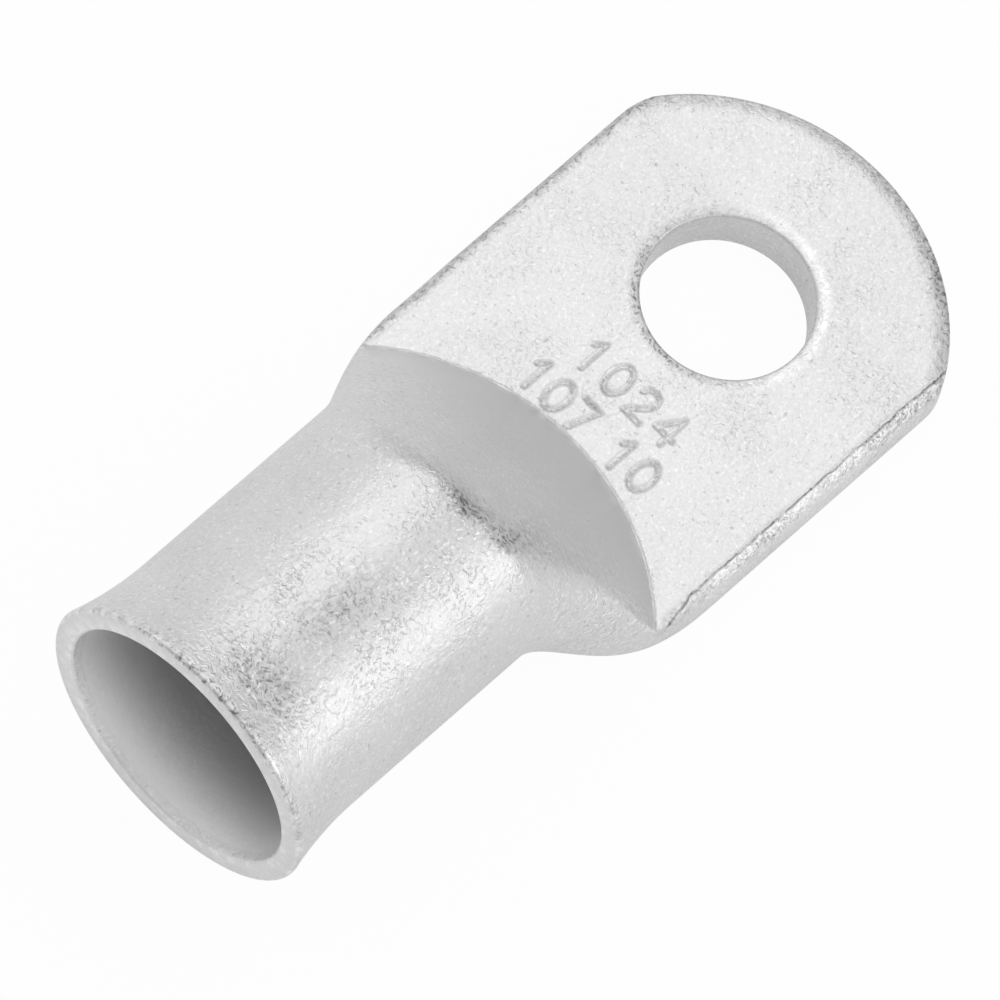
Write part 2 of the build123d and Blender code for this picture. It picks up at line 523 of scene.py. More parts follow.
def palm_outline(levels, right_end, left_end, d):
    """Band round the palm, one row of points per column, each from its top edge to its bottom edge.

    At each height the outline is the tip's arc as far as the straight side, then the side's bulged
    profile half_w sqrt(1 - ((z - mid) / rise)^2) back to the crease. The left side bulges less over its
    widest line than the right one, except next to the crease. The two corners are rounded by a running
    mean along the outline.
    """
    z = levels[None, :]
    fine = FINER * BAND_COLUMNS
    along = np.linspace(-1, 1, fine + 1)[:, None]
    drop = np.clip(z - (d.palm_t - d.edge_r), 0, d.edge_r)
    tip_r = d.tip_r - d.edge_r + np.sqrt(np.maximum(d.edge_r**2 - drop**2, 0))
    centre_x = d.tip_x - d.tip_r
    side_y = d.palm_half_w * np.sqrt(1 - ((z - d.side_mid_z) / d.side_rise) ** 2)
    side_y = mix(side_y, d.palm_half_w, LEFT_FULLER * (along > 0) * (z > d.side_mid_z))
    corner = np.arcsin(side_y / tip_r)
    corner_share = 0.4
    end_x = np.where(along < 0, right_end[None, :, 0], left_end[None, :, 0])
    on_tip = ramp(np.abs(along), 0, corner_share) * corner
    on_side = ramp(np.abs(along), corner_share, 1 - corner_share)
    corner_x = centre_x + tip_r * np.cos(corner)
    side_x = mix(corner_x, end_x, on_side)
    half_w, mid_z, up, down = section(side_x, d)
    rise = np.where(z > mid_z, up, down)
    neck_y = half_w * np.sqrt(np.maximum(1 - ((z - mid_z) / rise) ** 2, 0))
    fuller = LEFT_FULLER * ramp(side_x, d.crease_x, 3) * (along > 0) * (z > mid_z)
    neck_y = mix(neck_y, half_w, fuller)
    is_tip = np.abs(along) < corner_share
    x = np.where(is_tip, centre_x + tip_r * np.cos(on_tip), side_x)
    y = np.where(is_tip, tip_r * np.sin(on_tip), neck_y) * np.sign(along)
    reach = 6
    padded = np.pad(np.stack([x, y], -1), ((reach, reach), (0, 0), (0, 0)), mode="edge")
    total = np.cumsum(np.concatenate([np.zeros((1, *padded.shape[1:])), padded]), axis=0)
    smooth = (total[2 * reach + 1 :] - total[: -2 * reach - 1]) / (2 * reach + 1)
    heights = np.broadcast_to(z[..., None], (fine + 1, len(levels), 1))
    band = np.concatenate([smooth, heights], -1)[::FINER]
    band[0] = right_end
    band[-1] = left_end
    return band


def stroke_distance(x, y, d):
    """Distance of each place from the nearest stroke of the stamped numbers, which read towards -Y
    with their heads towards +X."""
    starts, ends = [], []
    for digits, foot_x, first_y, step in STAMPS:
        for place, digit in enumerate(digits):
            for line in DIGITS[digit]:
                at = [(foot_x + v * d.digit_h, first_y - place * step - u * d.digit_h) for u, v in line]
                starts += at[:-1]
                ends += at[1:]
    a = np.array(starts)
    way = np.array(ends) - a
    near = np.full(x.shape, np.inf)
    for (ax, ay), (wx, wy) in zip(a, way):
        share = np.clip(((x - ax) * wx + (y - ay) * wy) / (wx**2 + wy**2), 0, 1)
        near = np.minimum(near, np.hypot(x - ax - share * wx, y - ay - share * wy))
    return near


def palm_top(loop, d):
    """Flat top between the stud hole and its outline, on rays from the hole's centre, and the hole's
    wall under it. The stamped strokes are round-bottomed grooves."""
    angle = np.unwrap(np.arctan2(loop[:, 1], loop[:, 0]))
    ray = np.stack([np.cos(angle), np.sin(angle)], -1)
    lip_r = d.hole_r + d.hole_edge_r
    share = np.linspace(0, 1, PALM_ROWS + 1)[:, None, None]
    flat = mix(lip_r * ray, loop[:, :2], share)
    x, y = flat[..., 0], flat[..., 1]
    groove = np.clip(1 - stroke_distance(x, y, d) / (d.stroke_w / 2 + STROKE_SLOPE), 0, 1)
    z = d.palm_t - d.stamp_depth * smooth_step(groove)
    turn = np.linspace(0, math.pi / 2, LIP_ROWS)[:-1]
    lip_z = d.palm_t - d.hole_edge_r * (1 - np.cos(turn))
    wall_z = np.concatenate([lip_z, np.linspace(d.palm_t - d.hole_edge_r, 0, WALL_ROWS)])
    wall_r = np.concatenate([lip_r - d.hole_edge_r * np.sin(turn), np.full(WALL_ROWS, d.hole_r)])
    heights = np.broadcast_to(wall_z[:, None, None], (len(wall_z), len(ray), 1))
    wall = np.concatenate([ray * wall_r[:, None, None], heights], -1)
    top = np.stack([x, y, z], -1)
    top[-1] = loop
    top[0, :, 2] = d.palm_t
    return np.concatenate([top[::-1], wall[1:]]), angle


def grid_faces(rows, columns, closed, first):
    """Quads of a grid whose vertices start at first, with its last column joined to its first if closed."""
    index = first + np.arange(rows * columns).reshape(rows, columns)
    if closed:
        index = np.concatenate([index, index[:, :1]], 1)
    return np.stack([index[:-1, :-1], index[:-1, 1:], index[1:, 1:], index[1:, :-1]], -1).reshape(-1, 4)


def zipped_faces(a, b, at_a, at_b):
    """Triangles between two chains of vertices that lie side by side.

    All vertices of both chains are put in order of their place along the seam. Each makes a triangle
    with the one before it on its own chain and the last one passed on the other chain.
    """
    from_a = np.argsort(np.concatenate([at_a, at_b]), kind="stable") < len(at_a)
    in_a = np.maximum(np.cumsum(from_a) - 1, 0)
    in_b = np.maximum(np.cumsum(~from_a) - 1, 0)
    on_a = from_a & (in_a > 0)
    on_b = ~from_a & (in_b > 0)
    faces_a = np.stack([a[in_a[on_a] - 1], a[in_a[on_a]], b[in_b[on_a]]], -1)
    faces_b = np.stack([b[in_b[on_b]], b[in_b[on_b] - 1], a[in_a[on_b]]], -1)
    return np.concatenate([faces_a, faces_b])


def lug_surface(d):
    """Vertices and faces of the whole closed surface, from its four grids and three seams."""
    rows, side_count = skin(d)
    crease_row = rows[0]
    left = np.arange(TOP_LINES, TOP_LINES + side_count)
    bottom = np.arange(left[-1], left[-1] + BOTTOM_LINES + 1)
    right = np.append(np.arange(len(crease_row) - side_count + 1, len(crease_row)), 0)[::-1]
    band = palm_outline(crease_row[left][:, 2], crease_row[right], crease_row[left], d)
    loop = np.concatenate([band[:, 0], crease_row[TOP_LINES - 1 : 0 : -1]])
    top, angle = palm_top(loop, d)
    foot = np.concatenate([band[:, -1], crease_row[bottom[1:-1]]])
    parts = [rows.reshape(-1, 3), band.reshape(-1, 3), top.reshape(-1, 3), foot]
    first = np.cumsum([0] + [len(p) for p in parts])
    quads = np.concatenate(
        [
            grid_faces(*rows.shape[:2], True, first[0]),
            grid_faces(*band.shape[:2], False, first[1]),
            grid_faces(*top.shape[:2], True, first[2]),
        ]
    )
    hole = first[3] - len(loop) + np.arange(len(loop))
    outer = first[3] + np.arange(len(foot))
    foot_angle = np.unwrap(np.arctan2(foot[:, 1], foot[:, 0]))
    foot_angle += 2 * math.pi * round((angle[0] - foot_angle[0]) / (2 * math.pi))
    under = zipped_faces(
        np.append(hole, hole[0]),
        np.append(outer, outer[0]),
        np.append(angle, angle[0] + 2 * math.pi),
        np.append(foot_angle, foot_angle[0] + 2 * math.pi),
    )
    last = rows[-1]
    left_most = int(np.argmax(last[:, 1]))
    right_most = int(np.argmin(last[:, 1]))
    count = len(last)
    over_end = left_most + (count if right_most > left_most else 0)
    over = np.arange(right_most, over_end + 1) % count
    below = np.arange(left_most, right_most + 1)[::-1]
    base = first[1] - count
    end = zipped_faces(base + over, base + below, last[over, 1], last[below, 1])
    return welded(worn(np.concatenate(parts), d), quads, np.concatenate([under, end]))


def vertex_places(points, d):
    """Which part of the lug each vertex lies on, and how far and at what turn from that part's edges."""
    x, y, z = points.T
    half_w, mid_z, up, down = section(x, d)
    oval = mid_z + up * np.sqrt(np.maximum(1 - (y / half_w) ** 2, 0))
    face = press_face(x, y, d)
    off_axis = np.hypot(y / half_w, (z - mid_z) / np.where(z > mid_z, up, down))
    at = SimpleNamespace(x=x, y=y, z=z, face=face, gap=0.6 * (oval - face))
    at.behind = x < crease(y, d) + 0.01
    at.pressed = at.behind & (oval > face)
    within = (x > d.mouth_x + 0.2) & (x < d.crease_x + 2) & (z > 0.5) & (z < face - 0.6)
    at.inside = within & (off_axis < 1 - 0.5 * d.wall / d.tube_r)
    at.mouth_face = x < d.mouth_x + 0.12
    at.barrel = (x < d.tube_end_x + 2) & at.behind & ~at.inside
    at.on_palm = ~at.behind & (z > d.palm_t - 0.8)
    at.strip = ~at.behind & (y < 1.0 - d.palm_half_w) & (z > d.palm_t - 0.6)
    at.turn = np.arctan2(y, z - d.axis_z)
    at.bearing = np.arctan2(y, x)
    at.hole_off = np.hypot(x, y) - d.hole_r
    at.tip_off = d.tip_r - np.hypot(x - d.tip_x + d.tip_r, y)
    at.rim_off = d.axis_z - np.hypot(y, z - d.axis_z)
    at.rim = spot(at.rim_off, 0.18, 0.14) * (x < d.mouth_x + 0.6)
    return at


def grain_and_marks(at):
    """How rough the tumbled grain is and how many marks there are. Both fade from the ridge into the
    pressed face by 1 / (1 + exp((gap - 0.8) / 0.3)). The marks also fade from the barrel's crown to its
    flanks, and are most on the folded strip along the palm's right edge."""
    fade = 1 / (1 + np.exp((at.gap - 0.8) / 0.3))
    grain = np.where(at.pressed, np.clip(fade, FACE_WEAR[0], 1), 1.0)
    marks = np.where(at.behind, 1.0, PALM_MARKS)
    marks = np.where(at.pressed, np.clip(fade, FACE_WEAR[1], 1), marks)
    for part, wear in ((at.inside, INSIDE_WEAR), (at.mouth_face, MOUTH_WEAR)):
        grain = np.where(part, wear[0], grain)
        marks = np.where(part, wear[1], marks)
    crown = np.maximum(spot(at.turn, -0.25, 0.75), FLANK_MARKS)
    marks = np.where(at.barrel & (marks > 0.3), marks * crown, marks)
    return grain, np.where(at.strip, STRIP_MARKS, marks)


def grime_and_painted_shade(at, d):
    """How dark each place is painted: grime in spots on the barrel, on the chipped rim and on the folded
    strip, painted shade in the ridge's dents and along the ridge with smudges, a darker ring round the stud
    hole with painted shade on its upper left, painted shade along the rounded tip and left edge, and darker
    along the stamped strokes."""
    # painted shade darkening the ridge, most in its two dents, with smudges along it
    ridge = np.where(at.gap > 0, spot(at.gap, 0, 0.4), spot(at.gap, 0, 0.6)) * (at.z > d.palm_t + 2)
    ridge = ridge * sum(strength * spot(at.y, y, spread) for y, spread, strength in RIDGE_SHADE_AND_GRIME)
    barrel = 0
    for from_mouth, spread, turn, turn_spread, strength in BARREL_GRIME:
        ring = strength * spot(at.x, d.mouth_x + from_mouth, spread)
        barrel = barrel + ring * spot(at.turn, turn, turn_spread)
    # a faint darker ring round the stud hole, with painted shade on the upper left of its rounded lip
    upper_left = np.clip(np.cos(at.bearing - 2.6), 0, 1)
    palm = spot(at.hole_off, 0.3, 0.32) * (0.15 + 0.55 * upper_left)
    # painted shade along the rounded upper edge of the tip, strongest towards its right
    tip_turn = np.arctan2(at.y, at.x - d.tip_x + d.tip_r)
    tip_band = np.clip(1 - at.tip_off / 1.4, 0, 1) * (at.x > 0)
    palm += tip_band * (0.4 + 0.5 * spot(tip_turn, -0.55, 0.3))
    # painted shade along the rounded left edge of the palm
    palm += 0.55 * ramp(at.y, d.palm_half_w - 1.1, 0.5)
    palm += 0.3 * spot(stroke_distance(at.x, at.y, d), 0, 0.13) * (at.z < d.palm_t + 0.01)
    rim = 0.7 * at.rim * (0.3 + 0.7 * spot(at.turn, -0.2, 0.9))
    grime_and_shade = ridge + at.barrel * barrel + at.on_palm * palm + rim + 0.25 * at.strip
    return np.clip(grime_and_shade, 0, 1) * ~at.inside


def painted_highlights(at, d):
    """How much painted highlight each place gets, where light would catch rounded edges: both sides of the
    crease, the lip of the stud hole on its lower right, the outer and inner edge of the mouth and the folded
    strip."""
    # painted highlight on the press face just above the crease and on the palm next to it
    foot = at.pressed & (at.z > d.palm_t - 0.3)
    foot = foot * np.clip(1 - (at.face - d.palm_t) / 0.8, 0, 1)
    seam = ~at.behind & (at.x < crease(at.y, d) + 0.25) & (at.z > d.palm_t - 0.1)
    # painted highlight on the lower right of the stud hole's rounded lip
    lip = spot(at.hole_off, 0.5, 0.35) * np.clip(np.cos(at.bearing + 0.9), 0, 1) * at.on_palm
    inner_edge = spot(at.rim_off, d.rim_wall - 0.15, 0.15) * (at.x < d.mouth_x + 0.5)
    # painted highlights on the crease, the hole's lip, the mouth's edges and the folded strip
    bright = 0.6 * foot + 0.3 * seam + 0.9 * (lip + at.rim) + 0.7 * inner_edge + 0.25 * at.strip
    return np.clip(bright, 0, 1)


def wear_colours(points, d):
    """Two colours per vertex: one of grain, grime with painted shade, and painted shade deep inside the
    tube, which is 1 from 8 mm on, and one of marks, painted highlights and nothing."""
    at = vertex_places(points, d)
    grain, marks = grain_and_marks(at)
    # painted shade that grows deeper into the bore, which also makes it rougher
    bore_depth_shade = ramp(at.x, d.mouth_x, 8) * at.inside
    none, one = np.zeros_like(bore_depth_shade), np.ones_like(bore_depth_shade)
    wear = np.stack([grain, grime_and_painted_shade(at, d), bore_depth_shade, one], -1)
    marks_and_highlights = np.stack([marks, painted_highlights(at, d), none, one], -1)
    return wear.astype(np.float32), marks_and_highlights.astype(np.float32)


def worn_by(off, depth, start, length):
    """Depth of wear at a distance off from an edge: depth e^2, with e from 0 at start to 1 after length."""
    return depth * np.clip((start - off) / length, 0, 1) ** 2


def worn(points, d):
    """Points with the palm's upper edges worn down, less and less near the crease and down the sides."""
    x, y, z = points.T
    drop = worn_by(d.palm_half_w - y, *LEFT_WORN) + worn_by(d.palm_half_w + y, *RIGHT_WORN)
    tip_off = d.tip_r - np.hypot(x - d.tip_x + d.tip_r, y)
    drop = np.maximum(drop, worn_by(tip_off, *TIP_WORN) * (x > 0))
    drop += worn_by(np.hypot(x, y) - d.hole_r, *HOLE_WORN)
    share = ramp(x, crease(y, d), 1.5) * ramp(z, d.palm_t - 1, 1)
    return np.stack([x, y, z - drop * share], -1)


def welded(points, quads, triangles):
    """The same surface with one vertex where several grids meet."""
    _, keep, back = np.unique(np.round(points, 5), axis=0, return_index=True, return_inverse=True)
    back = back.reshape(-1)
    faces = back[quads].tolist() + [f for f in back[triangles].tolist() if len(set(f)) == 3]
    return points[keep], faces


def as_piece(name, points, faces, sharp_deg, material):
    """A mesh object from points in millimetres, with faces pointing outwards and shaded smooth."""
    mesh = bpy.data.meshes.new(name)
    mesh.from_pydata((points * MM).tolist(), [], faces)
    build = bmesh.new()
    build.from_mesh(mesh)
    bmesh.ops.recalc_face_normals(build, faces=build.faces)
    build.to_mesh(mesh)
    build.free()
    mesh.shade_smooth()
    mesh.set_sharp_from_angle(angle=math.radians(sharp_deg))
    mesh.materials.append(material)
    piece = bpy.data.objects.new(name, mesh)
    bpy.context.scene.collection.objects.link(piece)
    return piece


def linear(hex_colour):
    """Linear RGBA of an sRGB hex colour."""
    parts = np.array([int(hex_colour[i : i + 2], 16) for i in (1, 3, 5)]) / 255
    parts = np.where(parts <= 0.04045, parts / 12.92, ((parts + 0.055) / 1.055) ** 2.4)
    return (*parts.tolist(), 1.0)


def add_node(tree, kind, settings=None, **inputs):
    """Adds a node, sets its own settings, and sets or links its inputs, which are named as in Blender
    with _ for a space, or i0, i1 and so on for their place."""
    node = tree.nodes.new("ShaderNode" + kind)
    for name, value in (settings or {}).items():
        setattr(node, name, value)
    for name, value in inputs.items():
        by_place = name[0] == "i" and name[1:].isdigit()
        socket = node.inputs[int(name[1:]) if by_place else name.replace("_", " ")]
        if isinstance(value, bpy.types.NodeSocket):
            tree.links.new(value, socket)
        else:
            socket.default_value = value
    return node


def sum_of_products(tree, *terms):
    """Socket with the sum of all terms, where each term is the product of its two or more factors."""
    total = 0.0
    for first, *middle, last in terms:
        for factor in middle:
            first = add_node(tree, "Math", {"operation": "MULTIPLY"}, i0=first, i1=factor).outputs[0]
        whole = {"i0": first, "i1": last, "i2": total}
        total = add_node(tree, "Math", {"operation": "MULTIPLY_ADD"}, **whole).outputs[0]
    return total


def blotches(tree, place, per_m, low, high, detail=2.0):
    """Share that runs from 0 to 1 while a noise with so many hills per metre runs from low to high."""
    hills = add_node(tree, "TexNoise", Vector=place, Scale=per_m, Detail=detail).outputs["Fac"]
    return add_node(tree, "MapRange", Value=hills, From_Min=low, From_Max=high).outputs["Result"]


def scratches(tree, place, per_m, half_width, kept, shift):
    """Short bent marks in all directions, at most one in each cell of a pattern with per_m cells.

    A mark lies on a line through the middle of its cell. The line's heading is random and lies in the
    surface: across = heading x normal. The mark fades with the distance across it, up to its half
    width, and with the distance along it, from 0.25 to 0.45 of a cell. Only the share kept has one.
    """
    bend = add_node(tree, "TexNoise", Vector=place, Scale=per_m, Detail=1.0).outputs["Color"]
    bent = {"i0": bend, "i1": (1.0 / per_m,) * 3, "i2": (shift, shift, shift)}
    bent = add_node(tree, "VectorMath", {"operation": "MULTIPLY_ADD"}, **bent).outputs[0]
    at = add_node(tree, "VectorMath", {"operation": "ADD"}, i0=place, i1=bent).outputs[0]
    cell = add_node(tree, "TexVoronoi", Vector=at, Scale=per_m).outputs
    off = add_node(tree, "VectorMath", {"operation": "SUBTRACT"}, i0=at, i1=cell["Position"]).outputs[0]
    heading = {"i0": cell["Color"], "i1": (0.5, 0.5, 0.5)}
    heading = add_node(tree, "VectorMath", {"operation": "SUBTRACT"}, **heading).outputs[0]
    normal = add_node(tree, "NewGeometry").outputs["Normal"]
    across = add_node(tree, "VectorMath", {"operation": "CROSS_PRODUCT"}, i0=heading, i1=normal)
    across = add_node(tree, "VectorMath", {"operation": "NORMALIZE"}, i0=across.outputs[0]).outputs[0]
    along = add_node(tree, "VectorMath", {"operation": "CROSS_PRODUCT"}, i0=normal, i1=across).outputs[0]
    fades = []
    for line, start, end in ((across, 0.0, half_width), (along, 0.25 / per_m, 0.45 / per_m)):
        far = add_node(tree, "VectorMath", {"operation": "DOT_PRODUCT"}, i0=off, i1=line)
        far = add_node(tree, "Math", {"operation": "ABSOLUTE"}, i0=far.outputs["Value"]).outputs[0]
        fade = {"Value": far, "From_Min": start, "From_Max": end, "To_Min": 1.0, "To_Max": 0.0}
        settings = {"interpolation_type": "SMOOTHSTEP"}
        fades.append(add_node(tree, "MapRange", settings, **fade).outputs["Result"])
    drawn = add_node(tree, "SeparateColor", Color=cell["Color"]).outputs["Red"]
    drawn = add_node(tree, "Math", {"operation": "LESS_THAN"}, i0=drawn, i1=kept).outputs[0]
    return sum_of_products(tree, (fades[0], fades[1], drawn))


def fold_line(tree, place):
    """Thin dark line, broken up, painted as the shade in the groove where the flattened tube's fold shows
    along the palm's right edge.

    It fades as |y - fold_y(x) - 0.4 mm (noise - 1/2)| goes from 0.03 to 0.11 mm, and lies on the top
    only. The course fold_y comes in from 12.43 to 11.86 mm on the first 2.6 mm ahead of the crease.
    """
    at = add_node(tree, "SeparateXYZ", Vector=place).outputs
    course = {"From_Min": -17.8 * MM, "From_Max": -15.2 * MM, "To_Min": -12.43 * MM, "To_Max": -11.86 * MM}
    course = add_node(tree, "MapRange", Value=at["X"], **course).outputs["Result"]
    sway = add_node(tree, "TexNoise", Vector=place, Scale=700.0, Detail=2.0).outputs["Fac"]
    off = sum_of_products(tree, (at["Y"], 1.0), (course, -1.0), (sway, -0.4 * MM), (0.2 * MM, 1.0))
    off = add_node(tree, "Math", {"operation": "ABSOLUTE"}, i0=off).outputs[0]
    near = {"From_Min": 0.03 * MM, "From_Max": 0.11 * MM, "To_Min": 1.0, "To_Max": 0.0}
    near = add_node(tree, "MapRange", Value=off, **near).outputs["Result"]
    high = add_node(tree, "MapRange", Value=at["Z"], From_Min=3.0 * MM, From_Max=3.2 * MM)
    broken_up = blotches(tree, place, 800.0, 0.34, 0.5, 4.0)
    return sum_of_products(tree, (near, high.outputs["Result"], broken_up))


def tinned_copper(finish):
    """Tin-plated copper, tumbled satin: pale grey metal with a fine matte grain.

    Tumbling in a drum leaves short marks of 0.2 to 0.5 mm in all directions, so the highlights are
    broad and finely speckled. Handling leaves darker smudges, and the same darkening paints shade in the
    ridge's dents, on rounded edges, along the fold and deep in the bore; painted highlights brighten the
    crease, the hole's lip and the mouth's edges. Scales are cells or hills per metre.
    """
    material = bpy.data.materials.new("tinned_copper_tumbled")
    material.use_nodes = True
    tree = material.node_tree
    shader = tree.nodes["Principled BSDF"]
    place = add_node(tree, "TexCoord").outputs["Object"]
    colours = []
    for name in ("wear", "marks_and_highlights"):
        layer = add_node(tree, "Attribute", {"attribute_type": "GEOMETRY", "attribute_name": name})
        colours.append(add_node(tree, "SeparateColor", Color=layer.outputs["Color"]).outputs)
    # the second channel holds grime and painted shade, the third painted shade deep in the bore
    tumbled, grime_and_shade, inside = colours[0]["Red"], colours[0]["Green"], colours[0]["Blue"]
    # the second channel of this layer holds the painted highlights on edges
    marks, painted_highlight_share = colours[1]["Red"], colours[1]["Green"]

    # tumbling marks 0.2 mm wide in patches of 3 to 4 mm, some cut dark, some burnished bright
    cut = scratches(tree, place, 2300.0, 0.09 * MM, 0.8, 0.31)
    cut = sum_of_products(tree, (cut, marks, blotches(tree, place, 260.0, 0.44, 0.6, 4.0)))
    burnished = scratches(tree, place, 1700.0, 0.1 * MM, 0.9, 0.17)
    burnished = sum_of_products(tree, (burnished, marks, blotches(tree, place, 330.0, 0.42, 0.56, 4.0)))
    # crinkles of 0.5 mm where the tin was knocked about most
    crinkles = blotches(tree, place, 1900.0, 0.4, 0.6, 1.0)
    crinkles = sum_of_products(tree, (crinkles, marks, blotches(tree, place, 240.0, 0.44, 0.58, 3.0)))
    # grain of 0.2 mm, drawn a little coarser than real so that it shows, with rare pits and glints
    grain = blotches(tree, place, 5200.0, 0.3, 0.7)
    pits = blotches(tree, place, 3000.0, 0.66, 0.72)
    flecks = blotches(tree, place, 4100.0, 0.58, 0.68)
    # hammered unevenness of 1 mm
    dimples = blotches(tree, place, 1000.0, 0.0, 1.0, 3.0)

    # grime and painted shade lie as dark dust in hills of 0.6 mm and as grit 0.2 mm wide, and the painted
    # highlights on edges are broken into glints
    dust = blotches(tree, place, 1700.0, 0.42, 0.66, 5.0)
    grit = scratches(tree, place, 2100.0, 0.12 * MM, 1.0, 0.53)
    glints = blotches(tree, place, 1500.0, 0.45, 0.58, 3.0)
    fold = fold_line(tree, place)

    # darkening from random marks, pits and grime, and painted shade along the fold, in the ridge's dents, on
    # rounded edges and deep in the bore
    dark = sum_of_products(
        tree,
        (cut, 0.13),
        (pits, tumbled, 0.3),
        # painted shade in the fold's groove along the palm's right edge
        (fold, 0.6),
        (grime_and_shade, 0.16),
        (dust, grime_and_shade, 0.55),
        (grit, grime_and_shade, 0.8),
        (grain, tumbled, 0.12),
        (blotches(tree, place, 130.0, 0.35, 0.65), tumbled, 0.06),
        # painted shade deeper inside the bore
        (inside, inside, 0.35),
    )
    dark = add_node(tree, "Math", {"operation": "MINIMUM"}, i0=dark, i1=1.0).outputs[0]
    # brightening from burnished marks and flecks, and painted highlights on edges
    shine = sum_of_products(
        tree,
        (burnished, 1.0),
        (flecks, tumbled, 0.6),
        (painted_highlight_share, glints, 1.0),
        (painted_highlight_share, 0.4),
    )
    shine = add_node(tree, "Math", {"operation": "MINIMUM"}, i0=shine, i1=1.0).outputs[0]
    clean = {"i0": shine, "i6": linear(finish.tin), "i7": linear(finish.bright)}
    clean = add_node(tree, "Mix", {"data_type": "RGBA"}, **clean).outputs[2]
    colour = {"i0": dark, "i6": clean, "i7": linear(finish.dull)}
    colour = add_node(tree, "Mix", {"data_type": "RGBA"}, **colour).outputs[2]
    tree.links.new(colour, shader.inputs["Base Color"])
    shader.inputs["Metallic"].default_value = 1.0
    rough = sum_of_products(tree, (finish.roughness, 1.0), (inside, 0.3), (painted_highlight_share, -0.08))
    tree.links.new(rough, shader.inputs["Roughness"])
    height = sum_of_products(
        tree,
        (grain, tumbled, 0.28),
        (dimples, tumbled, 2.4),
        (crinkles, 1.5),
        (cut, -1.1),
        (burnished, -1.1),
        (grit, grime_and_shade, -1.4),
        (fold, -2.0),
    )
    # the weights of the height are in units of 0.024 mm
    bump = add_node(tree, "Bump", Height=height, Strength=1.0, Distance=0.024 * MM)
    tree.links.new(bump.outputs["Normal"], shader.inputs["Normal"])
    return material


class LUG_OT_body(bpy.types.Operator):
    """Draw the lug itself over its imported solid"""

    bl_idname = "lug.body"
    bl_label = "Cable lug"

    def execute(self, context):
        scene = context.scene
        d = measures(scene.lug_sizes)
        points, faces = lug_surface(d)
        piece = as_piece("tinned_lug", points, faces, SHARP_DEG, tinned_copper(scene.lug_finish))
        for name, colours in zip(("wear", "marks_and_highlights"), wear_colours(points, d)):
            layer = piece.data.color_attributes.new(name, "FLOAT_COLOR", "POINT")
            layer.data.foreach_set("color", colours.ravel())
        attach(piece, "root")
        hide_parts("cable_lug")
        return {"FINISHED"}


class LUG_OT_stage(bpy.types.Operator):
    """Set up floor, lamps, world and camera"""

    bl_idname = "lug.stage"
    bl_label = "Stage"

    def execute(self, context):
        look = context.scene.lug_stage
        white_floor(look)
        studio_world(look)
        soft_lamps()
        long_lens(look)
        return {"FINISHED"}


def white_share(tree, look):
    """Share of plain white: high for the camera, lower for rays that bounce off metal or pass glass, so
    that the metal also shows the shade under the lug, and zero for the light itself."""
    path = add_node(tree, "LightPath").outputs
    bounced = {"i0": path["Is Glossy Ray"], "i1": path["Is Transmission Ray"]}
    bounced = add_node(tree, "Math", {"operation": "MAXIMUM"}, **bounced).outputs[0]
    bounced = add_node(tree, "Math", {"operation": "MULTIPLY"}, i0=bounced, i1=look.whiten_bounced)
    direct = add_node(tree, "Math", {"operation": "MULTIPLY"}, i0=path["Is Camera Ray"], i1=look.whiten)
    both = {"i0": direct.outputs[0], "i1": bounced.outputs[0]}
    return add_node(tree, "Math", {"operation": "MAXIMUM"}, **both).outputs[0]


def white_floor(look):
    """Pale floor under the lug. The camera and reflections see it nearly white, with a faint shadow."""
    half = 1.5
    mesh = bpy.data.meshes.new("floor")
    corners = [(-half, -half, 0), (half, -half, 0), (half, half, 0), (-half, half, 0)]
    mesh.from_pydata(corners, [], [(0, 1, 2, 3)])
    floor = bpy.data.objects.new("floor", mesh)
    bpy.context.scene.collection.objects.link(floor)
    # a hair below the underside, so that the two planes don't flicker
    floor.location.z = -0.02 * MM
    material = bpy.data.materials.new("white_card")
    material.use_nodes = True
    tree = material.node_tree
    shader = tree.nodes["Principled BSDF"]
    shader.inputs["Base Color"].default_value = linear(look.floor)
    shader.inputs["Roughness"].default_value = 0.9
    shader.inputs["Specular IOR Level"].default_value = 0.1
    glow = add_node(tree, "Emission", Strength=1.0)
    mixed = {"i0": white_share(tree, look), "i1": shader.outputs[0], "i2": glow.outputs[0]}
    surface = add_node(tree, "MixShader", **mixed).outputs[0]
    tree.links.new(surface, tree.nodes["Material Output"].inputs["Surface"])
    mesh.materials.append(material)


def studio_world(look):
    """White light from all round, down to 0.62 beyond the tip and to 0.55 beyond the mouth. The camera
    itself sees plain white."""
    full, past_tip, past_mouth = look.world, look.world * 0.62, 0.55
    world = bpy.data.worlds.new("studio_world")
    bpy.context.scene.world = world
    world.use_nodes = True
    tree = world.node_tree
    heading = add_node(tree, "TexCoord").outputs["Generated"]
    along = add_node(tree, "SeparateXYZ", Vector=heading).outputs["X"]
    eased_ramp = {"interpolation_type": "SMOOTHSTEP"}
    ahead = {"Value": along, "From_Min": 0.45, "From_Max": 0.95, "To_Min": full, "To_Max": past_tip}
    ahead = add_node(tree, "MapRange", eased_ramp, **ahead).outputs["Result"]
    behind = {"Value": along, "From_Min": -0.9, "From_Max": -0.2, "To_Min": past_mouth, "To_Max": 1.0}
    behind = add_node(tree, "MapRange", eased_ramp, **behind).outputs["Result"]
    light = add_node(tree, "Math", {"operation": "MULTIPLY"}, i0=ahead, i1=behind).outputs[0]
    camera = add_node(tree, "LightPath").outputs["Is Camera Ray"]
    mixed = add_node(tree, "Mix", {"data_type": "FLOAT"}, i0=camera, i2=light, i3=1.0).outputs[0]
    tree.links.new(mixed, tree.nodes["Background"].inputs["Strength"])
    tree.nodes["Background"].inputs["Color"].default_value = (1, 1, 1, 1)


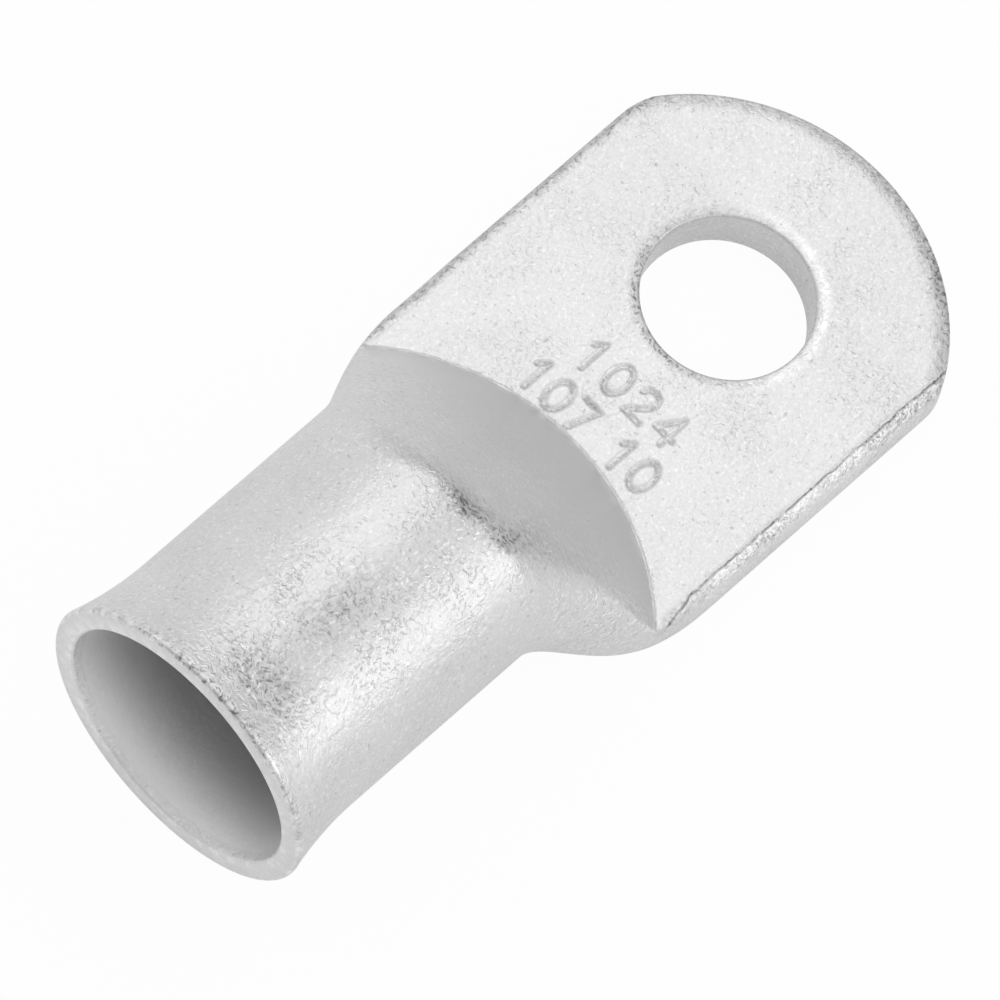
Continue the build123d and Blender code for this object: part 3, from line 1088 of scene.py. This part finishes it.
def soft_lamps():
    """Two broad soft boxes whose reflections are the two bright bands along the barrel."""
    lamps = (
        ("softbox_overhead", (0.39, 0.26, 0.88), 0.6, 0.66),
        ("softbox_right", (0.40, -0.86, 0.36), 0.5, 0.84),
    )
    for name, place, size, power in lamps:
        light = bpy.data.lights.new(name, "AREA")
        light.size = size
        light.energy = power
        lamp = bpy.data.objects.new(name, light)
        bpy.context.scene.collection.objects.link(lamp)
        lamp.location = place
        aim = -lamp.location
        lamp.rotation_euler = aim.to_track_quat("-Z", "Y").to_euler()


def long_lens(look):
    """Camera on a long lens, looking along its azimuth and elevation with a roll, as the photograph."""
    az, el, roll = look.azimuth, look.elevation, look.roll
    toward = np.array([math.cos(el) * math.sin(az), -math.cos(el) * math.cos(az), math.sin(el)])
    right = np.cross(-toward, (0, 0, 1))
    right /= np.linalg.norm(right)
    up = np.cross(toward, right)
    turned_right = math.cos(roll) * right + math.sin(roll) * up
    turned_up = -math.sin(roll) * right + math.cos(roll) * up
    centre = -look.aside * turned_right - look.below * turned_up + look.distance * toward
    data = bpy.data.cameras.new("camera")
    data.lens = look.lens
    data.sensor_width = 36.0
    data.clip_start = 0.1
    data.clip_end = 10.0
    camera = bpy.data.objects.new("camera", data)
    bpy.context.scene.collection.objects.link(camera)
    frame_axes = np.column_stack([turned_right, turned_up, toward, centre])
    camera.matrix_world = Matrix([*frame_axes.tolist(), (0, 0, 0, 1)])
    bpy.context.scene.camera = camera


class LUG_PT_panel(bpy.types.Panel):
    """Sizes, finish and stage of the cable lug"""

    bl_label = "Cable Lug"
    bl_idname = "LUG_PT_panel"
    bl_space_type = "VIEW_3D"
    bl_region_type = "UI"
    bl_category = "Cable Lug"

    def draw(self, context):
        layout = self.layout
        for group in (context.scene.lug_sizes, context.scene.lug_finish, context.scene.lug_stage):
            for name in group.bl_rna.properties.keys():
                if name not in ("name", "rna_type"):
                    layout.prop(group, name)
        for operator in OPERATORS:
            layout.operator(operator.bl_idname)


OPERATORS = (LUG_OT_body, LUG_OT_stage)
CLASSES = (LugSizes, LugFinish, LugStage, *OPERATORS, LUG_PT_panel)


def register():
    """Registers all classes and the three property groups on the scene."""
    for item in CLASSES:
        bpy.utils.register_class(item)
    bpy.types.Scene.lug_sizes = bpy.props.PointerProperty(type=LugSizes)
    bpy.types.Scene.lug_finish = bpy.props.PointerProperty(type=LugFinish)
    bpy.types.Scene.lug_stage = bpy.props.PointerProperty(type=LugStage)


def unregister():
    """Removes them again."""
    del bpy.types.Scene.lug_sizes
    del bpy.types.Scene.lug_finish
    del bpy.types.Scene.lug_stage
    for item in reversed(CLASSES):
        bpy.utils.unregister_class(item)


def main():
    """Builds the lug and its stage."""
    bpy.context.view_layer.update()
    register()
    bpy.context.scene.view_settings.view_transform = "Standard"
    bpy.ops.lug.body()
    bpy.ops.lug.stage()


if __name__ == "__main__":
    main()
